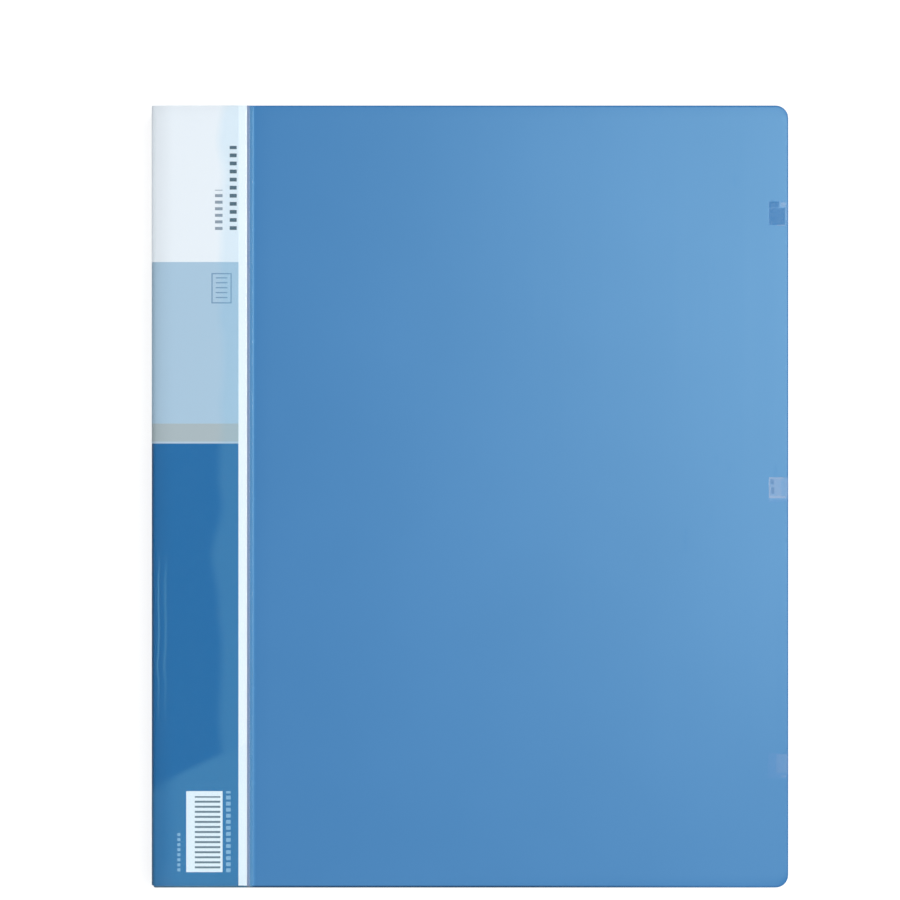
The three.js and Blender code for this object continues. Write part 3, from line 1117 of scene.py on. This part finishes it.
# How each tab looks: the places (x, y) of its painted shade, the places (x, y, whiteness) of its
# painted highlights, and how wrinkled it is. Places are in millimetres from the tab's lower inner corner
TAB_LOOKS = {
    "top": {
        "shade_patches": (((0.3, 6.6), (0.4, 7.0)), ((0.3, 4.2), (7.2, 9.6))),
        "highlight_patches": (((3.4, 6.6), (0.0, 0.5), 0.1), ((5.0, 6.8), (7.6, 9.2), 0.08)),
        "wrinkle": 1.0,
    },
    "middle": {
        "shade_patches": (((0.9, 2.2), (7.0, 9.0)), ((1.2, 2.4), (3.3, 5.8))),
        "highlight_patches": (
            ((0.2, 5.2), (1.6, 9.9), 0.09),
            ((5.2, 8.0), (1.6, 9.9), 0.05),
            ((0.2, 6.8), (1.5, 2.5), 0.09),
            ((0.2, 6.0), (9.1, 9.9), 0.07),
            ((0.2, 0.7), (2.5, 9.1), 0.06),
        ),
        "wrinkle": 0.3,
    },
    "bottom": {
        "shade_patches": (),
        "highlight_patches": (((3.2, 8.5), (2.0, 9.6), 0.03), ((5.0, 7.0), (0.6, 1.1), 0.06)),
        "wrinkle": 0.5,
    },
}
for tab_place, tab_look in TAB_LOOKS.items():
    tab_node = "edge_tab_" + tab_place
    tab = edge_tab(tab_node)
    dress(tab, tab_plastic("tab_film_" + tab_place, **tab_look))
    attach(tab, "front_cover")
    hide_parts(tab_node)

leaf_materials = leaf_plastic(), leaf_cut_edge(), leaf_inside()
leaf_count = sum(name.startswith("pocket_leaf_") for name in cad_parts)
for leaf_index in range(1, leaf_count + 1):
    dress(leaf_film(leaf_index), *leaf_materials)
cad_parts["cover_pocket"].material_slots[0].material = pocket_plastic()
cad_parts["binding_strip"].material_slots[0].material = binding_plastic()


# Camera, straight above the book as in the photograph
FRAME_WIDTH = 0.3567  # what the picture's width takes in at the cover's face
LENS, SENSOR = 100, 36
SHIFT = -0.0219, 0.0517  # the book lies a little off the picture's middle
camera_data = bpy.data.cameras.new("camera")
camera_data.lens, camera_data.sensor_width = LENS, SENSOR
camera_data.shift_x, camera_data.shift_y = SHIFT
camera = bpy.data.objects.new("camera", camera_data)
camera.location = (0, 0, TOP * MM + FRAME_WIDTH * LENS / SENSOR)
bpy.context.scene.collection.objects.link(camera)
bpy.context.scene.camera = camera


# Light
def area_light(name, location, target, size, radiance):
    """A square soft light, its strength given as the radiance of its face."""
    data = bpy.data.lights.new(name, "AREA")
    data.shape, data.size = "SQUARE", size
    data.energy = radiance * math.pi * size * size
    light = bpy.data.objects.new(name, data)
    light.location = location
    light.rotation_mode = "QUATERNION"
    light.rotation_quaternion = (Vector(target) - Vector(location)).to_track_quat("-Z", "Y")
    bpy.context.scene.collection.objects.link(light)


area_light("key_light", (0.60, 0.25, 1.57), (0, 0, 0), size=0.95, radiance=6.3)
area_light("front_light", (-0.25, -0.87, 1.47), (0, 0, 0), size=0.9, radiance=1.4)
area_light("top_light", (0.78, 0.1, 2.0), (0.78, 0.1, 0), size=1.4, radiance=0.4)


def when_seen(tree, seen, otherwise):
    """Shows one surface to the eye, in reflections and through glass, and the other to all else."""
    path = tree.nodes.new("ShaderNodeLightPath")
    looked_at = path.outputs["Is Camera Ray"]
    for kind in ("Is Glossy Ray", "Is Transmission Ray"):
        either = tree.nodes.new("ShaderNodeMath")
        either.operation = "MAXIMUM"
        tree.links.new(looked_at, either.inputs[0])
        tree.links.new(path.outputs[kind], either.inputs[1])
        looked_at = either.outputs[0]
    blend = tree.nodes.new("ShaderNodeMixShader")
    tree.links.new(looked_at, blend.inputs[0])
    tree.links.new(otherwise, blend.inputs[1])
    tree.links.new(seen, blend.inputs[2])
    return blend.outputs[0]


def whiter_far_off(tree):
    """Strength that grows away from the book, so that the floor's far edge isn't seen."""
    source = tree.nodes.new("ShaderNodeTexCoord")
    distance = tree.nodes.new("ShaderNodeVectorMath")
    distance.operation = "LENGTH"
    tree.links.new(source.outputs["Object"], distance.inputs[0])
    strength = tree.nodes.new("ShaderNodeMapRange")
    tree.links.new(distance.outputs["Value"], strength.inputs[0])
    for name, value in (("From Min", 0.6), ("From Max", 2.4), ("To Min", 0.8), ("To Max", 1.0)):
        strength.inputs[name].default_value = value
    return strength.outputs[0]


def floor_surface(tree):
    """White to the eye, with a slight shadow under the book; pale grey to all else."""
    pale = tree.nodes.new("ShaderNodeBsdfDiffuse")
    pale.inputs["Color"].default_value = (0.3, 0.3, 0.3, 1)
    white = tree.nodes.new("ShaderNodeEmission")
    tree.links.new(whiter_far_off(tree), white.inputs["Strength"])
    both = tree.nodes.new("ShaderNodeAddShader")
    tree.links.new(pale.outputs[0], both.inputs[0])
    tree.links.new(white.outputs[0], both.inputs[1])
    ground = tree.nodes.new("ShaderNodeBsdfDiffuse")
    ground.inputs["Color"].default_value = (0.8, 0.8, 0.8, 1)
    return when_seen(tree, both.outputs[0], ground.outputs[0])


def floor():
    mesh = bmesh.new()
    bmesh.ops.create_grid(mesh, x_segments=1, y_segments=1, size=6)
    data = bpy.data.meshes.new("floor")
    mesh.to_mesh(data)
    mesh.free()
    piece = bpy.data.objects.new("floor", data)
    piece.location.z = -0.0002
    bpy.context.scene.collection.objects.link(piece)
    material = bpy.data.materials.new("floor")
    material.use_nodes = True
    tree = material.node_tree
    tree.nodes.remove(tree.nodes["Principled BSDF"])
    tree.links.new(floor_surface(tree), tree.nodes["Material Output"].inputs["Surface"])
    data.materials.append(material)


def surroundings():
    world = bpy.data.worlds.new("surroundings")
    bpy.context.scene.world = world
    world.use_nodes = True
    tree = world.node_tree
    grey = tree.nodes["Background"]
    grey.inputs["Color"].default_value = (0.95, 0.97, 1.0, 1)
    grey.inputs["Strength"].default_value = 0.46
    white = tree.nodes.new("ShaderNodeBackground")
    white.inputs["Color"].default_value = (1, 1, 1, 1)
    white.inputs["Strength"].default_value = 1.0
    surface = when_seen(tree, white.outputs[0], grey.outputs[0])
    tree.links.new(surface, tree.nodes["World Output"].inputs["Surface"])


floor()
surroundings()
bpy.context.scene.view_settings.view_transform = "Standard"
bpy.context.scene.cycles.transparent_max_bounces = 32  # eight leaves deep, with four faces each
